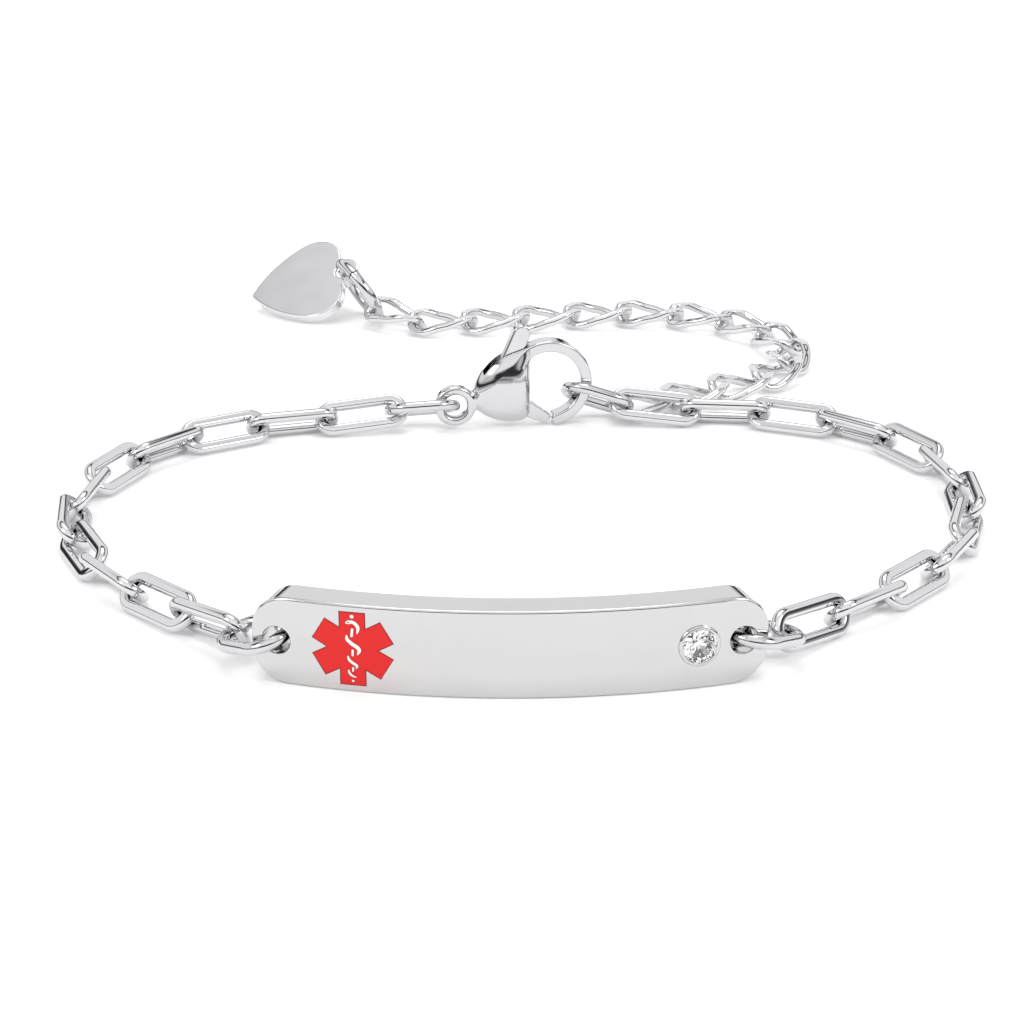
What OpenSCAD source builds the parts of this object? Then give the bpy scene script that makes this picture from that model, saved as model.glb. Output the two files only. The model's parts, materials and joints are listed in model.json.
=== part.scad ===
// Medical alert bracelet: a bent identity plate on a paperclip chain with a lobster clasp,
// and a curb chain extender that ends in a heart.
// It rests on its lower edge as it lies on a table. Z is up and X runs along the plate.

/* [Plate] */
// Length of the plate, measured along its curve
plate_len = 34; // [30:0.5:40]
// Height of the plate
plate_h = 6.2; // [5.6:0.1:7.5]
// Thickness of the plate
plate_t = 2.4; // [2:0.1:2.8]
// Radius that the middle of the plate is bent to
plate_bend_r = 48; // [40:1:60]
// Radius of the plate's corners
plate_corner_r = 2.5; // [1.6:0.1:2.7]
// Distance of a ring hole from the end of the plate
hole_inset = 1.75; // [1.6:0.05:2.2]

/* [Emblem and stone] */
// Distance of the emblem's centre from the middle of the plate
emblem_x = 10.1; // [8:0.1:12]
// Height of the six-armed star
emblem_h = 5.2; // [4:0.1:5.4]
// Width of an arm of the star
emblem_arm_w = 1.7; // [1.2:0.1:2]
// Depth of the enamel in the plate
enamel_t = 0.25; // [0.15:0.05:0.5]
// Distance of the stone's centre from the middle of the plate
stone_x = 12.2; // [9:0.1:13]
// Diameter of the stone
stone_d = 2.45; // [1.8:0.05:2.8]
// Height of the rim that holds the stone, above the plate
rim_h = 0.15; // [0.1:0.05:0.3]
// Width of that rim
rim_w = 0.18; // [0.12:0.02:0.3]

/* [Chain] */
// Outside length of a chain link
link_len = 7.9; // [7:0.1:8.6]
// Outside width of a chain link
link_w = 3.15; // [3:0.05:3.6]
// Diameter of the chain's wire
link_wire = 0.95; // [0.8:0.05:1]
// Thickness of a link between its two flattened faces
link_flat_t = 0.84; // [0.7:0.02:0.95]
// Length of the four oval jump rings on the chain
ring_len = 6.5; // [5.6:0.1:7]
// Diameter of their wire
ring_wire = 0.9; // [0.7:0.05:0.95]

/* [Clasp] */
// Outside radius of the hook's bow
hook_r = 3.75; // [3.4:0.05:4.2]
// Width of the bow, seen from the side
hook_w = 0.95; // [0.8:0.05:1.1]
// Thickness of the bow
hook_t = 1.5; // [1.2:0.1:1.8]
// Thickness of the body at its middle
body_t = 3.1; // [2.8:0.1:3.6]
// Thickness of the lever
lever_t = 0.9; // [0.7:0.05:1.1]
// Diameter of the pivot pin
pin_d = 0.8; // [0.6:0.05:1]
// Angle that the lever opens to
lever_open = 25; // [15:1:28]

/* [Extender] */
// Outside length of an extender link
curb_len = 6.7; // [6.2:0.1:7.2]
// Outside width of an extender link
curb_w = 4.2; // [3.8:0.1:4.6]
// Diameter of the extender's wire
curb_wire = 0.8; // [0.6:0.05:0.9]
// Diameter of the ring that carries the heart
heart_ring_d = 7; // [6.2:0.1:7.6]
// Diameter of that ring's wire
heart_ring_wire = 1.1; // [0.9:0.05:1.2]

/* [Heart] */
// Length of the heart from its point to its lobes
heart_len = 9.2; // [8:0.1:9.8]
// Width across the heart's lobes
heart_w = 9.6; // [8:0.1:9.8]
// Thickness of the heart
heart_t = 1; // [0.8:0.1:1.4]
// Diameter of the heart's eye
heart_eye_d = 3; // [2.8:0.1:3.4]
// Angle that the heart leans at, on its point and its near lobe
heart_tilt = 36; // [20:1:45]

/* [Fit] */
// Gap between linked wires
link_gap = 0.13; // [0.06:0.01:0.2]
// Play of a jump ring round the plate and in its hole
ring_play = 0.14; // [0.1:0.02:0.2]
// Gap between parts that are set or slide in one another
fit_gap = 0.1; // [0.06:0.01:0.15]
// Radial clearance of the lever on its pin
pin_gap = 0.04; // [0.02:0.01:0.08]

/* [Hidden] */
$fn = 48;
// Direction of each piece of the chain from the plate to the clasp, in degrees from straight out.
left_turns = [49, 44, 46, 53, 65, 81, 97, 112, 130, 148, 162, 170, 176];
right_turns = [49, 43, 43, 49, 61, 74, 87, 102, 118, 137, 156, 172, 174, 178];
// Roll of the extender's first and last link about their own length.
curb_roll_first = 3;
curb_roll_last = 0;
// Direction of each link of the extender from the clasp to the heart.
curb_turns = [24, 30, 34, 58, 84, 109, 134, 157, 176, 188, 193, 190, 182, 146];
// Lean of the chain's links to the inside of the loop and to its outside, one after the other.
lean_in = 49;
lean_out = 43;
// Lean of the first links, of the rings at the plate and of the rings at the clasp's eye and hook.
lean_first_left = 61;
lean_first_right = 68;
lean_ring_left = 6;
lean_ring_right = 8;
lean_eye_ring = 24;
lean_hook_ring = 34;
// How much higher than the rest of the chain the first two and the last crossing of a side lie.
first_rise = 0.62;
second_rise = 0.16;
last_rise = 0.55;
// How far to either side of the hook ring's end the last link and the extender hang on it, in degrees.
ring_split = 38;
ext_split = 30;

n_left = len(left_turns) - 2;
n_right = len(right_turns) - 2;
n_curb = len(curb_turns);

function two(i) = str(i < 10 ? "0" : "", i);
function unit(v) = v / norm(v);
function across(v, n) = unit(v - (v * n) * n);
function heading(a, dz) = [cos(a) * sqrt(1 - dz * dz), sin(a) * sqrt(1 - dz * dz), dz];

// Puts a piece's X along t, its Y along b and its Z square to both, and the origin at the loop's middle.
module place(p, t, b) {
    n = cross(t, b);
    set_down()
        multmatrix([[t.x, b.x, n.x, p.x], [t.y, b.y, n.y, p.y], [t.z, b.z, n.z, p.z], [0, 0, 0, 1]])
            children();
}

// Jump rings: the end bow goes round the plate's end and through its hole.
ring_in_r = plate_t / 2 + ring_play;
ring_bow_r = ring_in_r + ring_wire / 2;
ring_w = 2 * (ring_in_r + ring_wire);
ring_straight = ring_len - ring_w;
ring_at_face = sqrt(ring_in_r * ring_in_r - plate_t * plate_t / 4);
hole_d = ring_bow_r + ring_wire / 2 - ring_at_face + 2 * ring_play;
hole_to_bow = (ring_bow_r + ring_wire / 2 + ring_at_face) / 2;

// Half the distance between the middles of two crossing wires.
end_gap = 0.22;
curb_end_gap = 0.32;
ring_link_half = (ring_wire + link_wire) / 4 + end_gap / 2;
link_half = link_wire / 2 + link_gap / 2;
link_bow_r = (link_w - link_wire) / 2;
link_rest_z = link_bow_r * sin(lean_in) + link_wire / 2;

// Plate: the bend's axis stands at the origin of the plate's own frame, the plate on its -Y side.
plate_end_a = plate_len / plate_bend_r / 2 * 180 / PI;
hole_a = (plate_len / 2 - hole_inset) / plate_bend_r * 180 / PI;

// Clasp: its own frame has X from the eye to the hook, Y across and Z up, with the eye at X 0.
eye_z = 2.15;
eye_r = 1.75;
eye_hole_r = 1.0;
eye_t = 1.0;
bow_x = 7.9;
bow_mid_r = hook_r - hook_w / 2;
bow_in_r = hook_r - hook_w;
hook_catch_a = -24;
catch_z = hook_r + bow_mid_r * sin(hook_catch_a);
ring_reach = 0.4;
eye_ring_low = 0.06;
eye_catch_x = -(eye_r + eye_hole_r) / 2 - ring_reach;
hook_catch_x = bow_x + bow_mid_r * cos(hook_catch_a) + ring_reach;
clasp_run = hook_catch_x - eye_catch_x;
eye_end_z = eye_z - eye_ring_low;

// The chain's height where piece i begins, from the plate's ring down to the table and up to the clasp.
function chain_z(i, n, end_z) =
    i == 1 ? link_rest_z + first_rise : i == 2 ? link_rest_z + second_rise : i == n ? link_rest_z + last_rise : i > n ? end_z : link_rest_z;

// Each piece of one side as [middle, direction, width direction, far end], from the plate on.
function lean_of(i) = i % 2 == 1 ? -lean_out : lean_in;
function side_in(s, a) = s * [-sin(a), cos(a), 0];
function piece_b(s, a, lean, t) = across(cos(lean) * side_in(s, a) + [0, 0, sin(lean)], t);
function hole_at(s) =
    [s * plate_bend_r * sin(hole_a), -plate_bend_r * cos(hole_a), plate_h / 2];
function turn_of(s, turns, i, bow) =
    let (a = turns[i] + bow * i / (len(turns) - 1)) s > 0 ? a : 180 - a;
function first_ring(s, a) =
    let (
        p = hole_at(s),
        axis = [s * sin(hole_a), -cos(hole_a), 0],
        flat_t = [cos(a), sin(a), 0],
        run = ring_straight + ring_bow_r - ring_link_half,
        drop = (link_rest_z + first_rise - p.z) / (run + hole_to_bow / norm(cross(flat_t, axis))),
        t = heading(a, drop),
        q = across(t, axis),
        c = p + hole_to_bow * q,
        b = spin(across(axis * sign(axis * side_in(s, a)), t), t, s > 0 ? -lean_ring_right : -lean_ring_left)
    ) [c + ring_straight / 2 * t, t, b, c + run * t];
function piece_run(i, n) =
    i == n ? ring_straight + ring_bow_r - ring_link_half
    : link_len - link_wire - (i == 1 || i == n - 1 ? ring_link_half + link_half : 2 * link_half);
function next_piece(s, turns, i, bow, p, end_z) =
    let (
        n = len(turns) - 1,
        a = turn_of(s, turns, i, bow),
        run = piece_run(i, n),
        split = i == n && s > 0 ? ring_split : 0,
        sink = (ring_bow_r - ring_link_half) * sin(split) * sin(lean_hook_ring),
        dz = (chain_z(i + 1, n, end_z) + sink - p.z) / run,
        t = heading(a, dz),
        way = s > 0 ? i + 1 : i,
        lean = i == n ? (s > 0 ? lean_hook_ring : lean_eye_ring) : i == 1 ? (s > 0 ? lean_first_right : -lean_first_left) : lean_of(way),
        back = i == n || i == 1 ? ring_link_half : link_half,
        half = i == n ? ring_bow_r + ring_straight / 2 : (link_len - link_wire) / 2,
        b = piece_b(s, a, lean, t),
        q = p - (ring_bow_r - ring_link_half) * ((1 - cos(split)) * t + sin(split) * b)
    ) [q + (half - back) * t, t, b, q + run * t];
function side_pieces(s, turns, bow, end_z) =
    [for (i = 0, q = first_ring(s, turn_of(s, turns, 0, bow));
          i < len(turns);
          i = i + 1, q = i < len(turns) ? next_piece(s, turns, i, bow, q[3], end_z) : q) q];
function end_of(s, turns, bow, end_z) = side_pieces(s, turns, bow, end_z)[len(turns) - 1][3];

// The bow angle bends both sides alike until their ends lie the clasp's own length apart.
function ends_apart(bow) =
    norm(end_of(1, right_turns, bow, catch_z) - end_of(-1, left_turns, bow, eye_end_z)) - clasp_run;
function solve_bow(lo, hi, n) =
    let (mid = (lo + hi) / 2) n == 0 ? mid
    : ends_apart(mid) > 0 ? solve_bow(mid, hi, n - 1) : solve_bow(lo, mid, n - 1);
bow_angle = solve_bow(-30, 30, 16);
left = side_pieces(-1, left_turns, bow_angle, eye_end_z);
right = side_pieces(1, right_turns, bow_angle, catch_z);
left_end = left[n_left + 1][3];
right_end = right[n_right + 1][3];
clasp_x = unit([right_end.x - left_end.x, right_end.y - left_end.y, 0]);
clasp_y = [-clasp_x.y, clasp_x.x, 0];
clasp_at = [left_end.x, left_end.y, 0] - eye_catch_x * clasp_x;

// Heart's own frame: X from its point to its eye, Y across, Z through its thickness.
heart_turn = 0;
heart_flank_r = 11;
heart_tip_r = 0.5;
lobe_r = 0.28 * heart_w;
lobe = [heart_len - lobe_r, heart_w / 2 - lobe_r];
heart_eye_x = heart_len + 0.2;
heart_eye_hole_d = heart_ring_wire + 5 * fit_gap;
function spin(v, k, a) = v * cos(a) + cross(k, v) * sin(a) + k * (k * v) * (1 - cos(a));
// The middle of the arc that runs from the point to the lobe, on the side where Y is above 0.
heart_tip = [heart_tip_r, 0];
tip_to_lobe = norm(lobe - heart_tip);
flank_near = heart_flank_r - heart_tip_r;
flank_a = atan2(lobe.y, lobe.x - heart_tip_r)
          - acos((flank_near * flank_near + tip_to_lobe * tip_to_lobe - pow(heart_flank_r - lobe_r, 2))
                 / (2 * flank_near * tip_to_lobe));
flank_c = heart_tip + flank_near * [cos(flank_a), sin(flank_a)];
// The heart rests on the flank of its near side.
low_place = lobe + lobe_r * [0.3, 0.8];
lean_axis = unit([low_place.x, -low_place.y, 0]);
heart_u = spin(spin([1, 0, 0], lean_axis, heart_tilt), [0, 0, 1], heart_turn);
heart_v = spin(spin([0, 1, 0], lean_axis, heart_tilt), [0, 0, 1], heart_turn);
heart_n = cross(heart_u, heart_v);
heart_low = flank_c.x * heart_u.z - flank_c.y * heart_v.z - heart_flank_r * norm([heart_u.z, heart_v.z]);
heart_eye_z = heart_eye_x * heart_u.z + heart_t / 2 * heart_n.z - heart_low;

// The heart's ring passes through the eye along its axis and stands on the table.
heart_ring_r = (heart_ring_d - heart_ring_wire) / 2;
eye_lift = (heart_eye_z - heart_ring_wire / 2) / heart_ring_r;
ring_slope = (heart_n.z * heart_n.z - eye_lift * eye_lift) / (2 * eye_lift);
ring_level = unit(cross(heart_n, [0, 0, 1]));
ring_up = cross(ring_level, heart_n);
ring_side = sqrt(1 - pow(ring_slope / ring_up.z, 2));
heart_ring_t = ring_side * sign(ring_level.x) * ring_level + ring_slope / ring_up.z * ring_up;
ring_cut_a = 75;
ring_cut_w = 0.12;
heart_ring_z = heart_ring_r * norm([heart_ring_t.z, heart_n.z]) + heart_ring_wire / 2;
hold_a = 25;
hold_arm = heart_ring_r - (heart_ring_wire + curb_wire) / 4 - curb_end_gap / 2;
hold = hold_arm * (cos(hold_a) * heart_ring_t - sin(hold_a) * heart_n);

// Extender: it hangs on the same ring as the last chain link, beside it and behind it.
curb_bow_w = (curb_w - curb_wire) / 2;
curb_half = curb_wire / 2 + link_gap / 2;
curb_rest_z = 0.405 * curb_bow_w + curb_wire / 2;
last_ring = right[n_right + 1];
last_bow = last_ring[0] - ring_straight / 2 * last_ring[1];
ext_reach = ring_in_r + ring_wire / 4 - curb_wire / 4 - curb_end_gap / 2;
ext_start = last_bow - ext_reach * (cos(ext_split) * last_ring[1] + sin(ext_split) * last_ring[2]);
curb_run = curb_len - curb_wire - 2 * curb_half;
function curb_z(i) = i == 0 ? ext_start.z : i == n_curb ? heart_ring_z + hold.z : curb_rest_z;
function curb_ends(i, p) =
    i == n_curb ? [p]
    : concat([p], curb_ends(i + 1, p + curb_run * heading(curb_turns[i], (curb_z(i + 1) - p.z) / curb_run)));
curb = curb_ends(0, ext_start);
heart_ring_at = curb[n_curb] - hold;
heart_at = heart_ring_at - heart_ring_r * heart_ring_t - heart_eye_x * heart_u - heart_t / 2 * heart_n;

// The origin is under the middle of the whole, from the plate's face to the extender's far side.
side_x = [for (q = concat(left, right)) q[3].x];
far_lobe = heart_at + lobe.x * heart_u + lobe.y * heart_v;
back_y = max(max([for (p = curb) p.y]) + curb_w / 2, far_lobe.y + lobe_r);
front_y = -plate_bend_r - plate_t / 2;
middle = [(min(side_x) + max(side_x)) / 2, (front_y + back_y) / 2, 0];

module set_down() {
    translate(-middle)
        children();
}

// Outline that rounds one end of the plate, as [tangent, Z], with the end at X 0 and side 1 or -1.
module plate_end_2d(side) {
    r = plate_corner_r;
    rest = 1.5 * plate_len;
    translate([side > 0 ? -r - rest : r, 0])
        square([rest, plate_h]);
    translate([side > 0 ? -r : 0, r])
        square([r, plate_h - 2 * r]);
    for (z = [r, plate_h - r])
        translate([-side * r, z])
            circle(r);
}

module plate_end_cut(side) {
    rotate([0, 0, side * plate_end_a])
        rotate([90, 0, 0])
            linear_extrude(2 * plate_bend_r)
                plate_end_2d(side);
}

// Stands a shape drawn on the XY plane on the plate's face at an angle along the bend, facing out.
module on_face(a, depth) {
    rotate([0, 0, a])
        translate([0, -plate_bend_r - plate_t / 2 + depth, plate_h / 2])
            rotate([90, 0, 0])
                children();
}

module bend_shell(r_in, r_out) {
    translate([0, 0, -1])
        difference() {
            cylinder(h = plate_h + 2, r = r_out, $fn = 96);
            translate([0, 0, -1])
                cylinder(h = plate_h + 4, r = r_in, $fn = 96);
        }
}

emblem_a = -emblem_x / plate_bend_r * 180 / PI;
stone_a = stone_x / plate_bend_r * 180 / PI;

// Six arms: three crossed bars.
module star_2d(grow) {
    for (a = [0, 60, 120])
        rotate(a)
            square([emblem_arm_w + 2 * grow, emblem_h + 2 * grow], center = true);
}

module plate() {
    seat_r = stone_d / 2 + fit_gap / 2;
    color("silver")
        set_down()
        difference() {
            union() {
                intersection() {
                    bend_shell(plate_bend_r - plate_t / 2, plate_bend_r + plate_t / 2);
                    plate_end_cut(-1);
                    plate_end_cut(1);
                }
                on_face(stone_a, 0.3)
                    cylinder(h = rim_h + 0.3, r = seat_r + rim_w);
            }
            for (side = [-1, 1])
                on_face(side * hole_a, plate_t + 1)
                    cylinder(h = plate_t + 2, d = hole_d);
            intersection() {
                bend_shell(plate_bend_r + plate_t / 2 - enamel_t, plate_bend_r + plate_t);
                on_face(emblem_a, 1)
                    linear_extrude(2)
                        star_2d(fit_gap / 4);
            }
            on_face(stone_a, stone_d * 0.52)
                cylinder(h = stone_d * 0.52 + 1, r = seat_r);
        }
}

module emblem() {
    color("crimson")
        set_down()
        intersection() {
            bend_shell(plate_bend_r + plate_t / 2 - enamel_t + 0.02, plate_bend_r + plate_t / 2);
            on_face(emblem_a, 1)
                linear_extrude(2)
                    star_2d(0);
        }
}

// Round brilliant: table, eight-sided crown, girdle and pavilion, as rings of [radius, height, points, turn].
module stone() {
    r = stone_d / 2;
    rings = [[0.55 * r, 0.34 * r, 8, 0], [0.78 * r, 0.2 * r, 8, 22.5], [r, 0.03 * r, 16, 0],
             [r, -0.03 * r, 16, 0], [0.62 * r, -0.42 * r, 8, 22.5], [0.05 * r, -0.86 * r, 8, 0]];
    points = [for (q = rings) for (k = [0:q[2] - 1])
              [q[0] * cos(360 * k / q[2] + q[3]), q[0] * sin(360 * k / q[2] + q[3]), q[1]]];
    color("white")
        set_down()
        on_face(stone_a, -rim_h / 2)
            hull()
                polyhedron(points, [[for (k = [0:len(points) - 1]) k]]);
}

// Stadium ring of round wire in its own XY plane, long way along X, with flat faces flat_t apart.
module wire_link(length, width, wire, flat_t) {
    bow = (width - wire) / 2;
    straight = length - width;
    intersection() {
        union() {
            for (m = [0, 1])
                mirror([m, 0, 0])
                    translate([straight / 2, 0, 0])
                        rotate([0, 0, -90])
                            rotate_extrude(angle = 180, $fn = 96)
                                translate([bow, 0])
                                    circle(d = wire);
            for (m = [-1, 1])
                translate([-straight / 2, m * bow, 0])
                    rotate([0, 90, 0])
                        cylinder(h = straight, d = wire);
        }
        cube([2 * length, 2 * width, flat_t], center = true);
    }
}

module chain_piece(q) {
    color("gainsboro")
        place(q[0], q[1], q[2])
            wire_link(link_len, link_w, link_wire, link_flat_t);
}

module jump_ring(q) {
    color("silver")
        place(q[0], q[1], q[2])
            wire_link(ring_len, ring_w, ring_wire, 2 * ring_wire);
}

// Curb link: an oval wire loop whose two ends are twisted an eighth of a turn either way.
curb_blunt = 0.75;
curb_twist = 45;
function blunt(v) = sign(v) * pow(abs(v), curb_blunt);
function curb_mid(a) =
    let (x = (curb_len - curb_wire) / 2 * blunt(cos(a)), y = curb_bow_w * blunt(sin(a)), w = -curb_twist * cos(a))
    [x, y * cos(w), y * sin(w)];
function curb_skin(a, n_side) =
    let (
        p = curb_mid(a),
        t = unit(curb_mid(a + 1) - curb_mid(a - 1)),
        n = across(-p, t),
        b = cross(t, n)
    ) [for (k = [0:n_side - 1]) p + curb_wire / 2 * (cos(360 * k / n_side) * n + sin(360 * k / n_side) * b)];

module curb_link(i) {
    n_ring = 16;
    n_side = 6;
    points = [for (r = [0:n_ring - 1]) each curb_skin(360 * r / n_ring, n_side)];
    faces = [for (r = [0:n_ring - 1]) for (k = [0:n_side - 1])
             let (
                 a = r * n_side + k,
                 b = r * n_side + (k + 1) % n_side,
                 c = ((r + 1) % n_ring) * n_side + k,
                 d = ((r + 1) % n_ring) * n_side + (k + 1) % n_side
             ) each [[a, d, b], [a, c, d]]];
    p = curb[i - 1];
    t = unit(curb[i] - p);
    level = across([-sin(curb_turns[i - 1]), cos(curb_turns[i - 1]), 0], t);
    roll = i == 1 ? curb_roll_first : i == n_curb ? curb_roll_last : 0;
    b = spin(level, t, roll);
    color("gainsboro")
        place((p + curb[i]) / 2, t, b)
            polyhedron(points, faces);
}

// Heart outline: two lobes, a rounded point and flanks that run on smoothly from both.
module heart_2d() {
    for (m = [0, 1])
        mirror([0, m]) {
            intersection() {
                translate(flank_c)
                    circle(heart_flank_r, $fn = 96);
                polygon([[lobe.x, 0], lobe, 3 * lobe - 2 * flank_c, 3 * heart_tip - 2 * flank_c, heart_tip]);
                translate([-heart_len, 0])
                    square([3 * heart_len, heart_w]);
            }
            translate(lobe)
                circle(lobe_r);
        }
    translate(heart_tip)
        circle(heart_tip_r);
}

module heart() {
    color("silver")
        place(heart_at, heart_u, heart_v)
            linear_extrude(heart_t)
                difference() {
                    union() {
                        heart_2d();
                        translate([heart_eye_x, 0])
                            circle(d = heart_eye_d);
                    }
                    translate([heart_eye_x, 0])
                        circle(d = heart_eye_hole_d);
                }
}

// The ring's two wire ends meet with a thin cut between them.
module heart_ring() {
    color("silver")
        place(heart_ring_at, heart_ring_t, heart_n)
            difference() {
                rotate_extrude($fn = 96)
                    translate([heart_ring_r, 0])
                        circle(d = heart_ring_wire);
                rotate([0, 0, ring_cut_a])
                    translate([heart_ring_r, 0, 0])
                        cube([2 * heart_ring_wire, ring_cut_w, 2 * heart_ring_wire], center = true);
            }
}

// Clasp
pivot = [3.6, 2.95];
hook_tip_a = -84;
gate_tip_r = 0.5;
gate_tip = [bow_x + bow_in_r * cos(hook_tip_a) - gate_tip_r - fit_gap, gate_tip_r + 0.22];
tab_tip = [5.65, 8.2];
tab_tip_r = 0.72;
slot_t = lever_t + 2 * fit_gap;

module clasp_place() {
    place(clasp_at, clasp_x, clasp_y)
        children();
}

// Extrudes a side view drawn in [X, Z] to a thickness about the clasp's middle plane.
module side_view(t) {
    translate([0, t / 2, 0])
        rotate([90, 0, 0])
            linear_extrude(t)
                children();
}

// Side view of the body: a top arc and a bottom arc that meet at the eye, cut square at the bow.
body_end_x = 6.45;
body_top = [6.45, 2.05];
body_top_r = 5.1;
body_low = [4.9, 4.95];
body_low_r = 4.5;
// Each cheek of the body is a dome, highest over this place.
dome_r = 7.4;
dome_at = [4.9, 3.4];
hub_r = 1.05;

module body_2d() {
    intersection() {
        translate(body_top)
            circle(body_top_r, $fn = 96);
        translate(body_low)
            circle(body_low_r, $fn = 96);
        square([body_end_x, 2 * body_top_r]);
    }
}

// Side view of a lever arm from the pivot to a round tip, hub_r wide at the pivot.
// Its flanks sink just into both rounds, so that the three shapes join.
flank_sink = 0.97;

module arm_2d(tip, tip_r, hub_r) {
    d = tip - pivot;
    a = atan2(d.y, d.x);
    c = asin((hub_r - tip_r) / norm(d));
    flank = flank_sink * [sin(c), cos(c)];
    low_flank = [flank.x, -flank.y];
    translate(pivot)
        rotate(a)
            polygon([hub_r * low_flank, [norm(d), 0] + tip_r * low_flank,
                     [norm(d), 0] + tip_r * flank, hub_r * flank]);
    translate(tip)
        circle(tip_r);
}

module lever_2d(grow) {
    translate(pivot)
        circle(hub_r + grow);
    arm_2d(tab_tip, tab_tip_r + grow, 0.9 * hub_r + grow);
    arm_2d(gate_tip, gate_tip_r + grow, hub_r + grow);
}

module lever_slot_2d() {
    for (a = [0:5:lever_open + 4])
        translate(pivot)
            rotate(a)
                translate(-pivot)
                    lever_2d(fit_gap);
}

module clasp_body() {
    color("silver")
        clasp_place()
            union() {
                difference() {
                    union() {
                        intersection() {
                            side_view(body_t)
                                body_2d();
                            translate([dome_at.x, dome_r - body_t / 2, dome_at.y])
                                sphere(dome_r, $fn = 96);
                            translate([dome_at.x, body_t / 2 - dome_r, dome_at.y])
                                sphere(dome_r, $fn = 96);
                        }
                        // bow of the hook
                        translate([bow_x, 0, hook_r])
                            rotate([90, 0, 0])
                                rotate([0, 0, hook_tip_a])
                                    rotate_extrude(angle = 234, $fn = 96)
                                        translate([bow_in_r, -hook_t / 2])
                                            square([hook_w, hook_t]);
                        // eye
                        side_view(eye_t)
                            translate([0, eye_z])
                                circle(eye_r);
                    }
                    side_view(slot_t)
                        lever_slot_2d();
                    side_view(2 * body_t)
                        translate([0, eye_z])
                            circle(eye_hole_r);
                }
                // pivot pin, riveted in both cheeks
                translate([pivot.x, body_t / 2 - 0.3, pivot.y])
                    rotate([90, 0, 0])
                        cylinder(h = body_t - 0.6, d = pin_d);
            }
}

module clasp_lever() {
    color("gainsboro")
        clasp_place()
            difference() {
                side_view(lever_t)
                    lever_2d(0);
                side_view(2 * lever_t)
                    translate(pivot)
                        circle(pin_d / 2 + pin_gap);
            }
}

plate();
emblem();
stone();
clasp_body();
clasp_lever();
heart();
heart_ring();
jump_ring(left[0]);  // ring_plate_left
jump_ring(right[0]);  // ring_plate_right
jump_ring(left[n_left + 1]);  // ring_clasp_eye
jump_ring(right[n_right + 1]);  // ring_clasp_hook
for (i = [1:n_left]) chain_piece(left[i]);
for (i = [1:n_right]) chain_piece(right[i]);
for (i = [1:n_curb]) curb_link(i);
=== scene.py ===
"""Looks of the medical alert bracelet: polished steel plate, chain, clasp, extender and heart,
with red enamel and a clear stone."""
import json
from math import atan2, cos, pi, radians, sin, sqrt

import bmesh
import bpy
import numpy as np
from mathutils import Matrix, Vector


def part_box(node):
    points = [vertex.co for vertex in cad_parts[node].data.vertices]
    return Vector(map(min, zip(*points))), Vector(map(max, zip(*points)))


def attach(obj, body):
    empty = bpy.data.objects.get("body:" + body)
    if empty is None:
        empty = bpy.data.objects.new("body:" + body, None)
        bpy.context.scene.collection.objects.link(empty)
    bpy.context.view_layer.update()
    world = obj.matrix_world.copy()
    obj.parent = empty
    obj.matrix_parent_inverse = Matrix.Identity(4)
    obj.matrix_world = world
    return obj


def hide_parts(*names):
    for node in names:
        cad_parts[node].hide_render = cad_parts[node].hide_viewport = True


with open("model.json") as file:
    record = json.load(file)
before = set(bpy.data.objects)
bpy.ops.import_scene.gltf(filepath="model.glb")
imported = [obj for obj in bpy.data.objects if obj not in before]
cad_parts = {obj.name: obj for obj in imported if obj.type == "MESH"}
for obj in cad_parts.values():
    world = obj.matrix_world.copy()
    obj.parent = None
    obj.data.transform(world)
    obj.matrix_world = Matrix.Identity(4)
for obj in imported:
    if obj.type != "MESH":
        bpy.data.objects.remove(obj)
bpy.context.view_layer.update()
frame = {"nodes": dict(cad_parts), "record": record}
MM = 0.001
scene = bpy.context.scene

# An edge that turns more than this stays sharp when a mesh is shaded smooth.
LINK_CREASE, RING_CREASE, PLATE_CREASE = radians(24), radians(40), radians(35)
# A noise texture keeps mostly between these two values.
NOISE_LOW, NOISE_HIGH = 0.3, 0.7


def linear(code):
    """The linear colour of an sRGB hex code."""
    part = [int(code[i:i + 2], 16) / 255 for i in (1, 3, 5)]
    return (*(c / 12.92 if c <= 0.04045 else ((c + 0.055) / 1.055) ** 2.4 for c in part), 1.0)


def node(tree, kind, settings=None, inputs=None):
    """Adds a node with its settings, and its inputs set to a value or linked to a socket."""
    made = tree.nodes.new(kind)
    for name, value in (settings or {}).items():
        setattr(made, name, value)
    for name, value in (inputs or {}).items():
        if isinstance(value, bpy.types.NodeSocket):
            tree.links.new(value, made.inputs[name])
        else:
            made.inputs[name].default_value = value
    return made


def material(name):
    """A material with an empty tree, and the tree."""
    made = bpy.data.materials.new(name)
    made.use_nodes = True
    made.node_tree.nodes.clear()
    return made, made.node_tree


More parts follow.
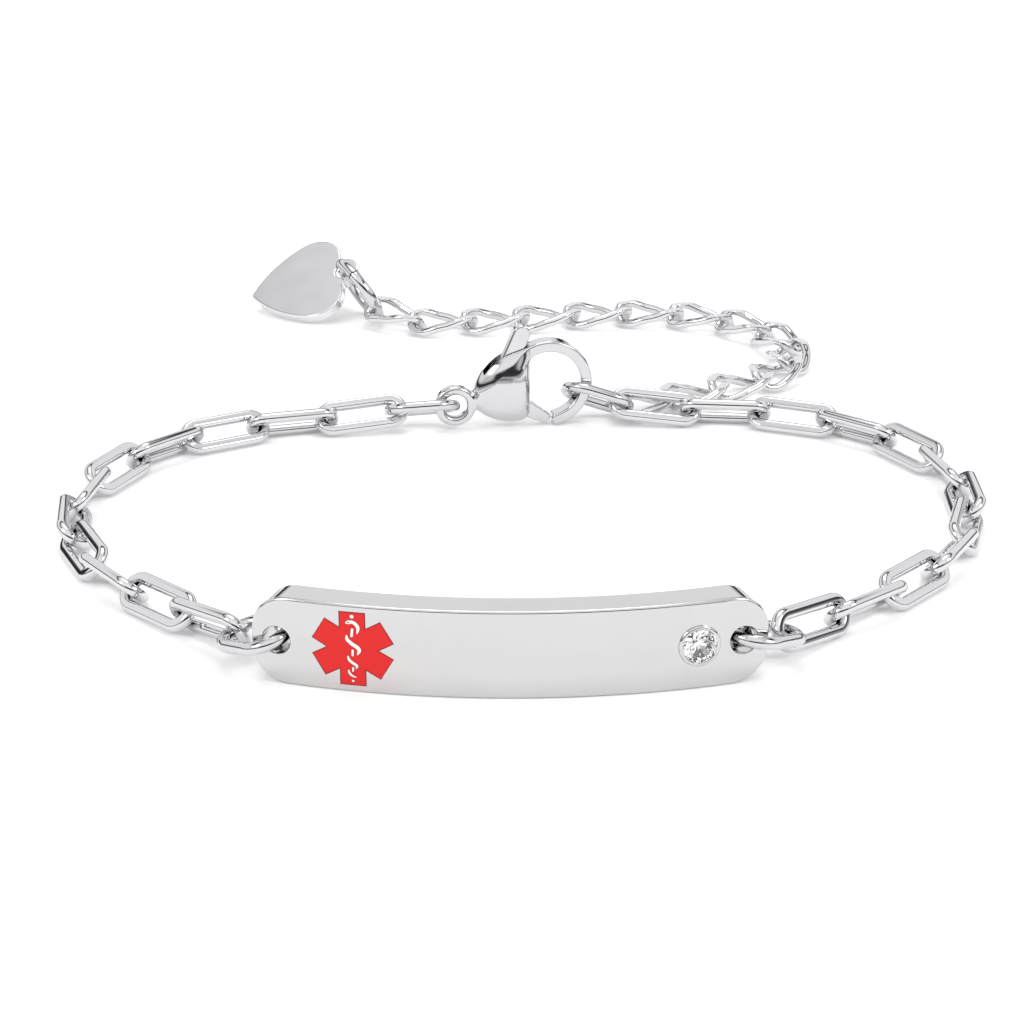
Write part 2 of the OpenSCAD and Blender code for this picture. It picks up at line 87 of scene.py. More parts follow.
def polished_steel(name, tone, rough, line_mm, line_depth_mm):
    """316L stainless steel, tumbled and buffed. Fine buffing lines break up a mirror that is almost clear,
    and slow changes in gloss keep the broad faces from looking like chrome. Real buffing lines are about
    0.01 mm apart; they are drawn ten times as coarse so that they show."""
    cloud_mm, squeeze, fineness = 2.5, 0.06, 0.6
    glossiest, dullest, darkest = 0.75, 1.3, 0.97
    made, t = material(name)
    place = node(t, "ShaderNodeTexCoord").outputs["Object"]
    drawn_out = node(t, "ShaderNodeMapping", {}, {"Vector": place, "Scale": (1, squeeze, 1)})
    buffing = node(t, "ShaderNodeTexNoise", {}, {
        "Vector": drawn_out.outputs[0], "Scale": 1 / (line_mm * MM), "Detail": 3, "Roughness": fineness})
    clouds = node(t, "ShaderNodeTexNoise", {}, {"Vector": place, "Scale": 1 / (cloud_mm * MM), "Detail": 2})
    gloss = node(t, "ShaderNodeMapRange", {}, {
        "Value": clouds.outputs[0], "From Min": NOISE_LOW, "From Max": NOISE_HIGH,
        "To Min": rough * glossiest, "To Max": rough * dullest})
    tint = node(t, "ShaderNodeMapRange", {}, {
        "Value": clouds.outputs[0], "From Min": NOISE_LOW, "From Max": NOISE_HIGH,
        "To Min": darkest, "To Max": 1.0})
    shade = node(t, "ShaderNodeMix", {"data_type": "RGBA", "blend_type": "MULTIPLY"}, {
        "Factor": 1.0, 6: linear(tone), 7: tint.outputs[0]})
    bump = node(t, "ShaderNodeBump", {}, {
        "Strength": 1.0, "Distance": line_depth_mm * MM, "Height": buffing.outputs[0]})
    steel = node(t, "ShaderNodeBsdfPrincipled", {}, {
        "Base Color": shade.outputs[2], "Metallic": 1.0, "Roughness": gloss.outputs[0],
        "Normal": bump.outputs[0]})
    node(t, "ShaderNodeOutputMaterial", {}, {"Surface": steel.outputs[0]})
    return made


def glazed_enamel(name, tone, deep, rough):
    """Hard enamel, filled in and polished flush: an even, dense colour under a thin clear gloss,
    with the faint clouding of the fired glass and a slight ripple left by the polishing."""
    cloud_mm, ripple_mm, ripple_depth_mm = 0.5, 0.25, 0.0015
    made, t = material(name)
    place = node(t, "ShaderNodeTexCoord").outputs["Object"]
    clouds = node(t, "ShaderNodeTexNoise", {}, {"Vector": place, "Scale": 1 / (cloud_mm * MM), "Detail": 3})
    mix = node(t, "ShaderNodeMix", {"data_type": "RGBA"}, {
        "Factor": clouds.outputs[0], 6: linear(deep), 7: linear(tone)})
    ripple = node(t, "ShaderNodeTexNoise", {}, {"Vector": place, "Scale": 1 / (ripple_mm * MM), "Detail": 1})
    bump = node(t, "ShaderNodeBump", {}, {
        "Strength": 1.0, "Distance": ripple_depth_mm * MM, "Height": ripple.outputs[0]})
    enamel = node(t, "ShaderNodeBsdfPrincipled", {}, {
        "Base Color": mix.outputs[2], "Roughness": rough, "Specular IOR Level": 0.3,
        "Normal": bump.outputs[0]})
    node(t, "ShaderNodeOutputMaterial", {}, {"Surface": enamel.outputs[0]})
    return made


def cut_zirconia(name):
    """Cubic zirconia, cut and polished: it bends light strongly, so its facets flash from white to black."""
    haze_mm = 0.4
    made, t = material(name)
    place = node(t, "ShaderNodeTexCoord").outputs["Object"]
    haze = node(t, "ShaderNodeTexNoise", {}, {"Vector": place, "Scale": 1 / (haze_mm * MM)})
    tint = node(t, "ShaderNodeMix", {"data_type": "RGBA"}, {
        "Factor": haze.outputs[0], 6: linear("#F7F9FA"), 7: linear("#FFFFFF")})
    glass = node(t, "ShaderNodeBsdfPrincipled", {}, {
        "Base Color": tint.outputs[2], "Roughness": 0.0, "IOR": 2.15, "Transmission Weight": 1.0})
    node(t, "ShaderNodeOutputMaterial", {}, {"Surface": glass.outputs[0]})
    return made


# Each steel has its tone, its roughness, and the spacing and depth of its buffing lines in millimetres.
plate_steel = polished_steel("mirror_polished_plate_steel", "#CCCCCC", 0.09, 0.12, 0.0003)
chain_steel = polished_steel("tumbled_chain_steel", "#D6D6D8", 0.06, 0.10, 0.0004)
ring_steel = polished_steel("tumbled_ring_steel", "#CFCFD1", 0.06, 0.10, 0.0004)
extender_steel = polished_steel("diamond_cut_extender_steel", "#D8D8DA", 0.05, 0.10, 0.0003)
clasp_steel = polished_steel("cast_and_buffed_clasp_steel", "#CECED0", 0.06, 0.14, 0.0005)
# The heart's steel tone is partly painted light: it is lighter than the other steels to stand in for the
# bright light that the upward-facing heart catches.
heart_steel = polished_steel("stamped_and_buffed_heart_steel_painted_lighter", "#E6E6E9", 0.16, 0.12, 0.0005)
# Each enamel has its tone, the deeper tone of its clouds, and its roughness.
red_enamel = glazed_enamel("red_hard_enamel", "#E4211F", "#DB1E1D", 0.4)
red_edge = glazed_enamel("red_hard_enamel_at_its_rim", "#A81F20", "#981B1C", 0.35)
white_enamel = glazed_enamel("white_hard_enamel", "#FBF7F4", "#F1ECE8", 0.35)
zirconia = cut_zirconia("cut_cubic_zirconia")


def mesh_of(name, points, faces):
    """A mesh of points and of faces that list them by number."""
    made = bpy.data.meshes.new(name)
    made.from_pydata([tuple(p) for p in points], [], [tuple(f) for f in faces])
    made.update()
    return made


def piece(name, mesh, finish, slot, body, *nodes):
    """Makes a mesh a piece of the object that rides a body and stands for its CAD nodes."""
    mesh.name = name
    mesh.materials.clear()
    mesh.materials.append(finish)
    made = bpy.data.objects.new(name, mesh)
    scene.collection.objects.link(made)
    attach(made, body)
    if nodes:
        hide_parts(*nodes)
    return made


# Where a piece lies is read from its CAD solid.


def axes_of(name):
    """The middle of a CAD solid and its directions from the longest to the shortest, in millimetres."""
    mesh = frame["nodes"][name].data
    mesh.calc_loop_triangles()
    co = np.empty(len(mesh.vertices) * 3)
    mesh.vertices.foreach_get("co", co)
    co = co.reshape(-1, 3) / MM
    tri = np.empty(len(mesh.loop_triangles) * 3, int)
    mesh.loop_triangles.foreach_get("vertices", tri)
    tri = co[tri.reshape(-1, 3)]
    area = np.linalg.norm(np.cross(tri[:, 1] - tri[:, 0], tri[:, 2] - tri[:, 0]), axis=1) / 2
    mid = tri.mean(1)
    at = (mid * area[:, None]).sum(0) / area.sum()
    # The area of a triangle is spread as its three corners are, plus nine times as its middle is.
    tri, mid = tri - at, mid - at
    spread = sum(np.einsum("n,ni,nj->ij", area, tri[:, k], tri[:, k]) for k in range(3))
    spread += 9 * np.einsum("n,ni,nj->ij", area, mid, mid)
    axes = np.linalg.eigh(spread)[1][:, ::-1].copy()
    if np.linalg.det(axes) < 0:
        axes[:, 2] *= -1
    reach = (co - at) @ axes
    return at + axes @ ((reach.min(0) + reach.max(0)) / 2), axes, co


def placement(at, axes):
    """The matrix that puts millimetres in a piece's own frame into metres in the object's."""
    m = Matrix([[*axes[i], at[i]] for i in range(3)] + [[0, 0, 0, 1]])
    return Matrix.Scale(MM, 4) @ m


# Chain, jump rings and extender: one link each, made once and set where the CAD links lie.


def repeated(name, tree, sizes, finish, slot, cad_nodes):
    """Runs a link's tree on one point for each CAD link and makes the result one plain piece."""
    at, turns = [], []
    for n in cad_nodes:
        middle, axes, _ = axes_of(n)
        at.append(Vector(middle) * MM)
        turns.append(Matrix(axes.tolist()).to_quaternion())
    places = mesh_of(name + "_places", at, [])
    turn = places.attributes.new("turn", "QUATERNION", "POINT")
    for item, q in zip(turn.data, turns):
        item.value = q
    made = bpy.data.objects.new(name + "_places", places)
    scene.collection.objects.link(made)
    run = made.modifiers.new("links", "NODES")
    run.node_group = tree
    sockets = {i.name: i.identifier for i in tree.interface.items_tree if i.in_out == "INPUT"}
    for key, value in sizes.items():
        run[sockets[key]] = value * MM
    run[sockets["Finish"]] = finish
    depsgraph = bpy.context.evaluated_depsgraph_get()
    mesh = bpy.data.meshes.new_from_object(made.evaluated_get(depsgraph), depsgraph=depsgraph)
    mesh.set_sharp_from_angle(angle=LINK_CREASE)
    bpy.data.objects.remove(made)
    bpy.data.meshes.remove(places)
    piece(name, mesh, finish, slot, "bracelet", *cad_nodes)


def link_tree(name, sizes):
    """An empty tree that takes places, sizes and a finish and gives links, and what it is given."""
    tree = bpy.data.node_groups.new(name, "GeometryNodeTree")
    tree.interface.new_socket("Places", in_out="INPUT", socket_type="NodeSocketGeometry")
    for key in sizes:
        tree.interface.new_socket(key, in_out="INPUT", socket_type="NodeSocketFloat")
    tree.interface.new_socket("Finish", in_out="INPUT", socket_type="NodeSocketMaterial")
    tree.interface.new_socket("Links", in_out="OUTPUT", socket_type="NodeSocketGeometry")
    return tree, node(tree, "NodeGroupInput").outputs


def set_links(tree, given, link):
    """Sets one link on every place, turned as the place says."""
    turn = node(tree, "GeometryNodeInputNamedAttribute", {"data_type": "QUATERNION"}, {"Name": "turn"})
    smooth = node(tree, "GeometryNodeSetShadeSmooth", {}, {"Geometry": link})
    spots = node(tree, "GeometryNodeMeshToPoints", {}, {"Mesh": given["Places"]})
    laid = node(tree, "GeometryNodeInstanceOnPoints", {}, {
        "Points": spots.outputs[0], "Instance": smooth.outputs[0], "Rotation": turn.outputs[0]})
    real = node(tree, "GeometryNodeRealizeInstances", {}, {"Geometry": laid.outputs[0]})
    done = node(tree, "GeometryNodeSetMaterial", {}, {
        "Geometry": real.outputs[0], "Material": given["Finish"]})
    node(tree, "NodeGroupOutput", {}, {0: done.outputs[0]})


def wire_link_tree():
    """A long oval of wire with its two broad faces pressed flat."""
    path_steps, wire_steps, pressed_edge = 72, 36, 0.06
    tree, given = link_tree("oval_wire_link", ("Length", "Width", "Wire", "Flat thickness"))
    bow = node(tree, "ShaderNodeMath", {"operation": "SUBTRACT"}, {0: given["Width"], 1: given["Wire"]})
    bow = node(tree, "ShaderNodeMath", {"operation": "MULTIPLY"}, {0: bow.outputs[0], 1: 0.5})
    half = node(tree, "ShaderNodeMath", {"operation": "SUBTRACT"}, {0: given["Length"], 1: given["Width"]})
    half = node(tree, "ShaderNodeMath", {"operation": "MULTIPLY"}, {0: half.outputs[0], 1: 0.5})
    path = node(tree, "GeometryNodeCurvePrimitiveCircle", {}, {
        "Resolution": path_steps, "Radius": bow.outputs[0]})
    here = node(tree, "ShaderNodeSeparateXYZ", {}, {0: node(tree, "GeometryNodeInputPosition").outputs[0]})
    side = node(tree, "ShaderNodeMath", {"operation": "SIGN"}, {0: here.outputs[0]})
    apart = node(tree, "ShaderNodeMath", {"operation": "MULTIPLY"}, {0: side.outputs[0], 1: half.outputs[0]})
    move = node(tree, "ShaderNodeCombineXYZ", {}, {0: apart.outputs[0]})
    path = node(tree, "GeometryNodeSetPosition", {}, {"Geometry": path.outputs[0], "Offset": move.outputs[0]})
    path = node(tree, "GeometryNodeSetCurveNormal", {"mode": "Z_UP"}, {0: path.outputs[0]})
    radius = node(tree, "ShaderNodeMath", {"operation": "MULTIPLY"}, {0: given["Wire"], 1: 0.5})
    wire = node(tree, "GeometryNodeCurvePrimitiveCircle", {}, {
        "Resolution": wire_steps, "Radius": radius.outputs[0]})
    link = node(tree, "GeometryNodeCurveToMesh", {}, {
        "Curve": path.outputs[0], "Profile Curve": wire.outputs[0]})
    # The press takes the top and the bottom off the wire and rounds the two edges that it leaves.
    surface = node(tree, "ShaderNodeSeparateXYZ", {}, {0: node(tree, "GeometryNodeInputPosition").outputs[0]})
    top = node(tree, "ShaderNodeMath", {"operation": "MULTIPLY"}, {0: given["Flat thickness"], 1: 0.5})
    low = node(tree, "ShaderNodeMath", {"operation": "MULTIPLY"}, {0: given["Flat thickness"], 1: -0.5})
    bevel = node(tree, "ShaderNodeMath", {"operation": "MULTIPLY"}, {0: given["Wire"], 1: pressed_edge})
    pressed = node(tree, "ShaderNodeMath", {"operation": "SMOOTH_MIN"}, {
        0: surface.outputs[2], 1: top.outputs[0], 2: bevel.outputs[0]})
    pressed = node(tree, "ShaderNodeMath", {"operation": "SMOOTH_MAX"}, {
        0: pressed.outputs[0], 1: low.outputs[0], 2: bevel.outputs[0]})
    place = node(tree, "ShaderNodeCombineXYZ", {}, {
        0: surface.outputs[0], 1: surface.outputs[1], 2: pressed.outputs[0]})
    link = node(tree, "GeometryNodeSetPosition", {}, {
        "Geometry": link.outputs[0], "Position": place.outputs[0]})
    set_links(tree, given, link.outputs[0])
    return tree


def curb_link_tree():
    """An open oval of round wire whose two ends are twisted an eighth of a turn either way.
    Its outline is blunter than an ellipse, which has a bluntness of 1."""
    path_steps, wire_steps, even_steps, bluntness = 96, 24, 84, 0.75
    tree, given = link_tree("twisted_curb_link", ("Length", "Width", "Wire", "Cut height"))
    long = node(tree, "ShaderNodeMath", {"operation": "SUBTRACT"}, {0: given["Length"], 1: given["Wire"]})
    wide = node(tree, "ShaderNodeMath", {"operation": "SUBTRACT"}, {0: given["Width"], 1: given["Wire"]})
    path = node(tree, "GeometryNodeCurvePrimitiveCircle", {}, {"Resolution": path_steps, "Radius": 1.0})
    here = node(tree, "ShaderNodeSeparateXYZ", {}, {0: node(tree, "GeometryNodeInputPosition").outputs[0]})
    blunt = []
    for k, reach in ((0, long), (1, wide)):
        size = node(tree, "ShaderNodeMath", {"operation": "ABSOLUTE"}, {0: here.outputs[k]})
        size = node(tree, "ShaderNodeMath", {"operation": "POWER"}, {0: size.outputs[0], 1: bluntness})
        way = node(tree, "ShaderNodeMath", {"operation": "SIGN"}, {0: here.outputs[k]})
        size = node(tree, "ShaderNodeMath", {"operation": "MULTIPLY"}, {
            0: size.outputs[0], 1: way.outputs[0]})
        half = node(tree, "ShaderNodeMath", {"operation": "MULTIPLY"}, {0: reach.outputs[0], 1: 0.5})
        size = node(tree, "ShaderNodeMath", {"operation": "MULTIPLY"}, {
            0: size.outputs[0], 1: half.outputs[0]})
        blunt.append(size.outputs[0])
    twist = node(tree, "ShaderNodeMath", {"operation": "MULTIPLY"}, {0: here.outputs[0], 1: -pi / 4})
    y_way = node(tree, "ShaderNodeMath", {"operation": "COSINE"}, {0: twist.outputs[0]})
    z_way = node(tree, "ShaderNodeMath", {"operation": "SINE"}, {0: twist.outputs[0]})
    y = node(tree, "ShaderNodeMath", {"operation": "MULTIPLY"}, {0: blunt[1], 1: y_way.outputs[0]})
    z = node(tree, "ShaderNodeMath", {"operation": "MULTIPLY"}, {0: blunt[1], 1: z_way.outputs[0]})
    spot = node(tree, "ShaderNodeCombineXYZ", {}, {0: blunt[0], 1: y.outputs[0], 2: z.outputs[0]})
    path = node(tree, "GeometryNodeSetPosition", {}, {
        "Geometry": path.outputs[0], "Position": spot.outputs[0]})
    path = node(tree, "GeometryNodeResampleCurve", {}, {0: path.outputs[0], "Count": even_steps})
    radius = node(tree, "ShaderNodeMath", {"operation": "MULTIPLY"}, {0: given["Wire"], 1: 0.5})
    wire = node(tree, "GeometryNodeCurvePrimitiveCircle", {}, {
        "Resolution": wire_steps, "Radius": radius.outputs[0]})
    link = node(tree, "GeometryNodeCurveToMesh", {}, {
        "Curve": path.outputs[0], "Profile Curve": wire.outputs[0]})
    # The cutter takes a flat off each long side, above and below.
    surface = node(tree, "ShaderNodeSeparateXYZ", {}, {0: node(tree, "GeometryNodeInputPosition").outputs[0]})
    top = node(tree, "ShaderNodeMath", {"operation": "MULTIPLY"}, {0: given["Cut height"], 1: 0.5})
    low = node(tree, "ShaderNodeMath", {"operation": "MULTIPLY"}, {0: given["Cut height"], 1: -0.5})
    cut = node(tree, "ShaderNodeMath", {"operation": "MINIMUM"}, {0: surface.outputs[2], 1: top.outputs[0]})
    cut = node(tree, "ShaderNodeMath", {"operation": "MAXIMUM"}, {0: cut.outputs[0], 1: low.outputs[0]})
    place = node(tree, "ShaderNodeCombineXYZ", {}, {
        0: surface.outputs[0], 1: surface.outputs[1], 2: cut.outputs[0]})
    link = node(tree, "GeometryNodeSetPosition", {}, {
        "Geometry": link.outputs[0], "Position": place.outputs[0]})
    set_links(tree, given, link.outputs[0])
    return tree


def named(start):
    """The CAD nodes whose names begin with a word, in order."""
    return [n for n in sorted(frame["nodes"]) if n.startswith(start)]


oval_link = wire_link_tree()
repeated("paperclip_chain", oval_link, {"Length": 7.9, "Width": 3.15, "Wire": 0.95, "Flat thickness": 0.84},
         chain_steel, "link_steel", named("link_"))
repeated("jump_rings", oval_link, {"Length": 6.5, "Width": 4.48, "Wire": 0.9, "Flat thickness": 1.2},
         ring_steel, "ring_steel", named("ring_"))
repeated("curb_extender", curb_link_tree(), {"Length": 6.7, "Width": 4.2, "Wire": 0.8, "Cut height": 1.56},
         extender_steel, "extender_steel", named("extender_link_"))


# Clasp and heart: cast and stamped forms, each the zero surface of a distance field in millimetres.


def skin(field, low, high, step):
    """Vertices, outward normals and quads of the surface where a distance field is zero."""
    x, y, z = (np.arange(a, b + step, step) for a, b in zip(low, high))
    f = field(x[:, None, None], y[None, :, None], z[None, None, :])
    inside = f < 0
    cells = tuple(n - 1 for n in f.shape)
    corners = [(i, j, k) for i in (0, 1) for j in (0, 1) for k in (0, 1)]

    def corner(a, c):
        return a[c[0]:c[0] + cells[0], c[1]:c[1] + cells[1], c[2]:c[2] + cells[2]]

    count = sum(corner(inside, c).astype(np.int8) for c in corners)
    at = np.argwhere((count > 0) & (count < 8))
    number = np.full(cells, -1)
    number[tuple(at.T)] = np.arange(len(at))
    spot, hits = np.zeros((len(at), 3)), np.zeros(len(at))
    for a in corners:
        for axis in range(3):
            if a[axis]:
                continue
            b = tuple(1 if k == axis else a[k] for k in range(3))
            fa, fb = f[tuple((at + a).T)], f[tuple((at + b).T)]
            cross = (fa < 0) != (fb < 0)
            share = np.where(cross, fa / np.where(cross, fa - fb, 1), 0)
            spot += cross[:, None] * (np.array(a) + share[:, None] * (np.array(b) - np.array(a)))
            hits += cross
    v = np.array(low) + (at + spot / hits[:, None]) * step
    quads = []
    for axis in range(3):
        u, w = [np.eye(3, dtype=int)[k] for k in ((axis + 1) % 3, (axis + 2) % 3)]
        one = [slice(None)] * 3
        two = [slice(None)] * 3
        one[axis], two[axis] = slice(0, -1), slice(1, None)
        edge = np.argwhere(inside[tuple(one)] != inside[tuple(two)])
        out = inside[tuple(edge.T)]
        ring = np.stack([number[tuple((edge - s).T)] for s in (0 * u, u, u + w, w)], 1)
        quads.append(np.where(out[:, None], ring, ring[:, ::-1]))

    def slope(v):
        h = step / 4
        return np.stack([(field(*(v + h * e).T) - field(*(v - h * e).T)) / (2 * h) for e in np.eye(3)], 1)

    # Three steps down the slope bring the vertices onto the surface.
    for _ in range(3):
        g = slope(v)
        away = np.clip(field(*v.T), -step / 2, step / 2)
        v = v - away[:, None] * g / np.maximum((g * g).sum(1), 0.25)[:, None]
    g = slope(v)
    return v, g / np.maximum(np.linalg.norm(g, axis=1), 1e-9)[:, None], np.concatenate(quads)


def grown(field, box, at, axes):
    """A smooth mesh of the distance field in a box, set where the CAD solid lies."""
    v, n, quads = skin(field, *box, STEP)
    mesh = mesh_of("grown", v, quads)
    mesh.shade_smooth()
    mesh.normals_split_custom_set_from_vertices([tuple(a) for a in n])
    mesh.transform(placement(at, axes))
    return mesh


def soft_min(a, b, k):
    """The nearer of two forms, with a fillet between them about as wide as k."""
    h = np.maximum(k - np.abs(a - b), 0) / k
    return np.minimum(a, b) - h * h * k / 4


def rounded(flat, depth, r):
    """A side view's distance and a depth outside its faces, joined with a round edge."""
    a, b = flat + r, depth + r
    return np.sqrt(np.maximum(a, 0) ** 2 + np.maximum(b, 0) ** 2) + np.minimum(np.maximum(a, b), 0) - r


def disc(x, z, middle, r):
    """Side view of a disc."""
    return np.sqrt((x - middle[0]) ** 2 + (z - middle[1]) ** 2) - r


def taper(x, z, a, b, ra, rb):
    """Side view of an arm with round ends of two sizes."""
    d = np.subtract(b, a)
    length = np.hypot(*d)
    ux, uz = d / length
    along = (x - a[0]) * ux + (z - a[1]) * uz
    off = np.abs((z - a[1]) * ux - (x - a[0]) * uz)
    s = (ra - rb) / length
    c = sqrt(1 - s * s)
    k = c * along - s * off
    root, end = np.sqrt(along ** 2 + off ** 2) - ra, np.sqrt((along - length) ** 2 + off ** 2) - rb
    return np.where(k < 0, root, np.where(k > c * length, end, s * along + c * off - ra))


# The clasp's own frame has X from the eye to the hook, Y across and Z up.
EYE, EYE_R, EYE_HOLE_R, EYE_HALF_T = (0, 2.15), 1.75, 1.0, 0.5
# Two discs give the cheeks' side view. A dome gives half their thickness: its middle, height and spread,
# the least that it falls to, and the most that its edge is rounded.
BELLY, BELLY_R = (6.45, 2.05), 5.1
SPINE, SPINE_R = (4.9, 4.95), 4.5
DOME, DOME_H, DOME_SPREAD, DOME_LEAST, DOME_EDGE = (4.9, 3.4), 1.55, 14.8, 0.55, 1.25
BOW, BOW_MID, BOW_HALF_W, BOW_HALF_T = (7.9, 3.75), 3.275, 0.475, 0.75
BOW_START, BOW_END = radians(-84), radians(150)
PIVOT, HUB_R, PIN_R, PIN_HALF, PIN_HOLE_R = (3.6, 2.95), 1.05, 0.4, 1.2, 0.44
TAB, TAB_ROOT_R, TAB_R = (5.65, 8.2), 0.95, 0.72
# The arm's round tip has its middle this far from the bow's first end, and this high.
GATE_R, GATE_BACK, GATE_UP = 0.5, 0.6, 0.72
GATE = (BOW[0] + (BOW_MID - BOW_HALF_W) * cos(BOW_START) - GATE_BACK, GATE_UP)
LEVER_HALF_T, SLOT_HALF_W, SLOT_ROOM = 0.45, 0.55, 0.1
# Fillets where two forms meet, and the radii of rounded edges.
CHEEK_FILLET, BOW_FILLET, EYE_FILLET, SLOT_FILLET, LEVER_FILLET = 0.7, 0.45, 0.35, 0.08, 0.05
BOW_END_R, BOW_EDGE_R, EYE_EDGE_R, LEVER_EDGE_R = 0.42, 0.2, 0.3, 0.16
# Each box holds its form with a little room.
BODY_BOX = (-1.95, -1.75, -0.2), (11.85, 1.75, 7.7)
LEVER_BOX = (2.2, -0.6, 0), (8.4, 0.6, 9.1)
# The slot is cut for the lever at these turns, in degrees.
SWEEP = range(0, 30, 4)
# The mesh's step, in millimetres, is coarser while the work goes on.
STEP = 0.07


def lever_side(x, z):
    """Side view of the lever: its hub, the tab for the thumb and the arm that shuts the bow."""
    d = soft_min(disc(x, z, PIVOT, HUB_R), taper(x, z, PIVOT, TAB, TAB_ROOT_R, TAB_R), LEVER_FILLET)
    return soft_min(d, taper(x, z, PIVOT, GATE, HUB_R, GATE_R), LEVER_FILLET)


def lever_sweep(x, z):
    """Side view of all that the lever passes through as it opens."""
    d = np.inf
    for turn in SWEEP:
        c, s = cos(radians(turn)), sin(radians(turn))
        dx, dz = x - PIVOT[0], z - PIVOT[1]
        d = np.minimum(d, lever_side(PIVOT[0] + c * dx + s * dz, PIVOT[1] - s * dx + c * dz))
    return d


def clasp_body_field(x, y, z):
    """The cast body: cheeks, bow and eye in one, slotted for the lever, with the pin across the slot."""
    # The cheeks are full at the hook end and run out to a point at the eye.
    side = np.maximum(disc(x, z, BELLY, BELLY_R), disc(x, z, SPINE, SPINE_R))
    side = -soft_min(-side, -(x - BELLY[0]), CHEEK_FILLET)
    dome = DOME_H - ((x - DOME[0]) ** 2 + (z - DOME[1]) ** 2) / DOME_SPREAD
    dome = np.maximum(dome, DOME_LEAST)
    cheeks = rounded(side, np.abs(y) - dome, np.minimum(dome, DOME_EDGE))
    # The bow is a flat band with softened edges, open between its two ends.
    dx, dz = x - BOW[0], z - BOW[1]
    past = np.minimum(dx * sin(BOW_START) - dz * cos(BOW_START), -dx * sin(BOW_END) + dz * cos(BOW_END))
    band = np.abs(disc(x, z, BOW, BOW_MID)) - BOW_HALF_W
    bow = rounded(rounded(band, past, BOW_END_R), np.abs(y) - BOW_HALF_T, BOW_EDGE_R)
    whole = soft_min(cheeks, bow, BOW_FILLET)
    # The eye is turned like a ring.
    eye = rounded(disc(x, z, EYE, EYE_R), np.abs(y) - EYE_HALF_T, EYE_EDGE_R)
    whole = soft_min(whole, eye, EYE_FILLET)
    whole = -soft_min(-whole, disc(x, z, EYE, EYE_HOLE_R), EYE_FILLET)
    slot = np.maximum(lever_sweep(x, z) - SLOT_ROOM, np.abs(y) - SLOT_HALF_W)
    whole = -soft_min(-whole, slot, SLOT_FILLET)
    pin = np.maximum(disc(x, z, PIVOT, PIN_R), np.abs(y) - PIN_HALF)
    return np.minimum(whole, pin)


def clasp_lever_field(x, y, z):
    """The lever: a plate with softened edges and a hole for the pin."""
    lever = rounded(lever_side(x, z), np.abs(y) - LEVER_HALF_T, LEVER_EDGE_R)
    return np.maximum(lever, -disc(x, z, PIVOT, PIN_HOLE_R))


# The hinge's axis says how the clasp is turned, and its place is that of the pin.
joint = frame["record"]["behaviour"]["joints"][0]
clasp_y = -np.array(joint["axis"], float)
clasp_y /= np.linalg.norm(clasp_y)
clasp_axes = np.array([[clasp_y[1], clasp_y[0], 0], [-clasp_y[0], clasp_y[1], 0], [0, 0, 1]])
clasp_at = np.array(joint["pos_m"], float) / MM - clasp_axes @ np.array([PIVOT[0], 0, PIVOT[1]])
body_mesh = grown(clasp_body_field, BODY_BOX, clasp_at, clasp_axes)
piece("clasp_cast_body", body_mesh, clasp_steel, "clasp_steel", "bracelet", "clasp_body")
lever_mesh = grown(clasp_lever_field, LEVER_BOX, clasp_at, clasp_axes)
piece("clasp_sprung_lever", lever_mesh, clasp_steel, "clasp_steel", "clasp_lever", "clasp_lever")

# Heart: a stamped blank with broken edges, an eye past its notch and a blunt point at the origin.
HEART_LEN, HEART_W, HEART_T, FLANK_R, TIP_R = 9.2, 9.6, 1.0, 11, 0.5
HEART_EYE, HEART_EYE_R, HEART_HOLE_R = (HEART_LEN + 0.2, 0), 1.5, 0.8
HEART_EDGE_R, HEART_EYE_FILLET, HEART_HOLE_FILLET = 0.16, 0.5, 0.2
HEART_BOX = (-0.2, -5.0, -0.7), (11.1, 5.0, 0.7)
LOBE_R = 0.28 * HEART_W
LOBE = np.array([HEART_LEN - LOBE_R, HEART_W / 2 - LOBE_R])
TIP = np.array([TIP_R, 0])
# The long arc of each flank runs into the rounds of the tip and the lobe without a corner.
tip_to_lobe = np.linalg.norm(LOBE - TIP)
tip_to_flank = FLANK_R - TIP_R
flank_way = atan2(LOBE[1], LOBE[0] - TIP_R) - np.arccos(
    (tip_to_flank ** 2 + tip_to_lobe ** 2 - (FLANK_R - LOBE_R) ** 2) / (2 * tip_to_flank * tip_to_lobe))
FLANK = TIP + tip_to_flank * np.array([cos(flank_way), sin(flank_way)])


def heart_field(x, y, z):
    """The heart: one half drawn and mirrored, each stretch of its outline an arc."""
    half_y = np.abs(y)
    to_lobe, to_tip = LOBE - FLANK, TIP - FLANK
    dx, dy = x - FLANK[0], half_y - FLANK[1]
    past_lobe = to_lobe[0] * dy - to_lobe[1] * dx < 0
    past_tip = to_tip[0] * dy - to_tip[1] * dx > 0
    flank_or_tip = np.where(past_tip, disc(x, half_y, TIP, TIP_R), disc(x, half_y, FLANK, FLANK_R))
    d = np.where(past_lobe, disc(x, half_y, LOBE, LOBE_R), flank_or_tip)
    d = soft_min(d, disc(x, half_y, HEART_EYE, HEART_EYE_R), HEART_EYE_FILLET)
    whole = rounded(d, np.abs(z) - HEART_T / 2, HEART_EDGE_R)
    return -soft_min(-whole, disc(x, half_y, HEART_EYE, HEART_HOLE_R), HEART_HOLE_FILLET)


# The heart's eye is at the end where its ring is.
heart_mid, heart_axes, _ = axes_of("heart")
ring_mid, ring_axes, ring_points = axes_of("heart_ring")
if (ring_mid - heart_mid) @ heart_axes[:, 0] < 0:
    heart_axes[:, :2] *= -1
heart_at = heart_mid - heart_axes[:, 0] * (HEART_EYE[0] + HEART_EYE_R) / 2
heart_mesh = grown(heart_field, HEART_BOX, heart_at, heart_axes)
piece("heart_tag", heart_mesh, heart_steel, "heart_steel", "bracelet", "heart")

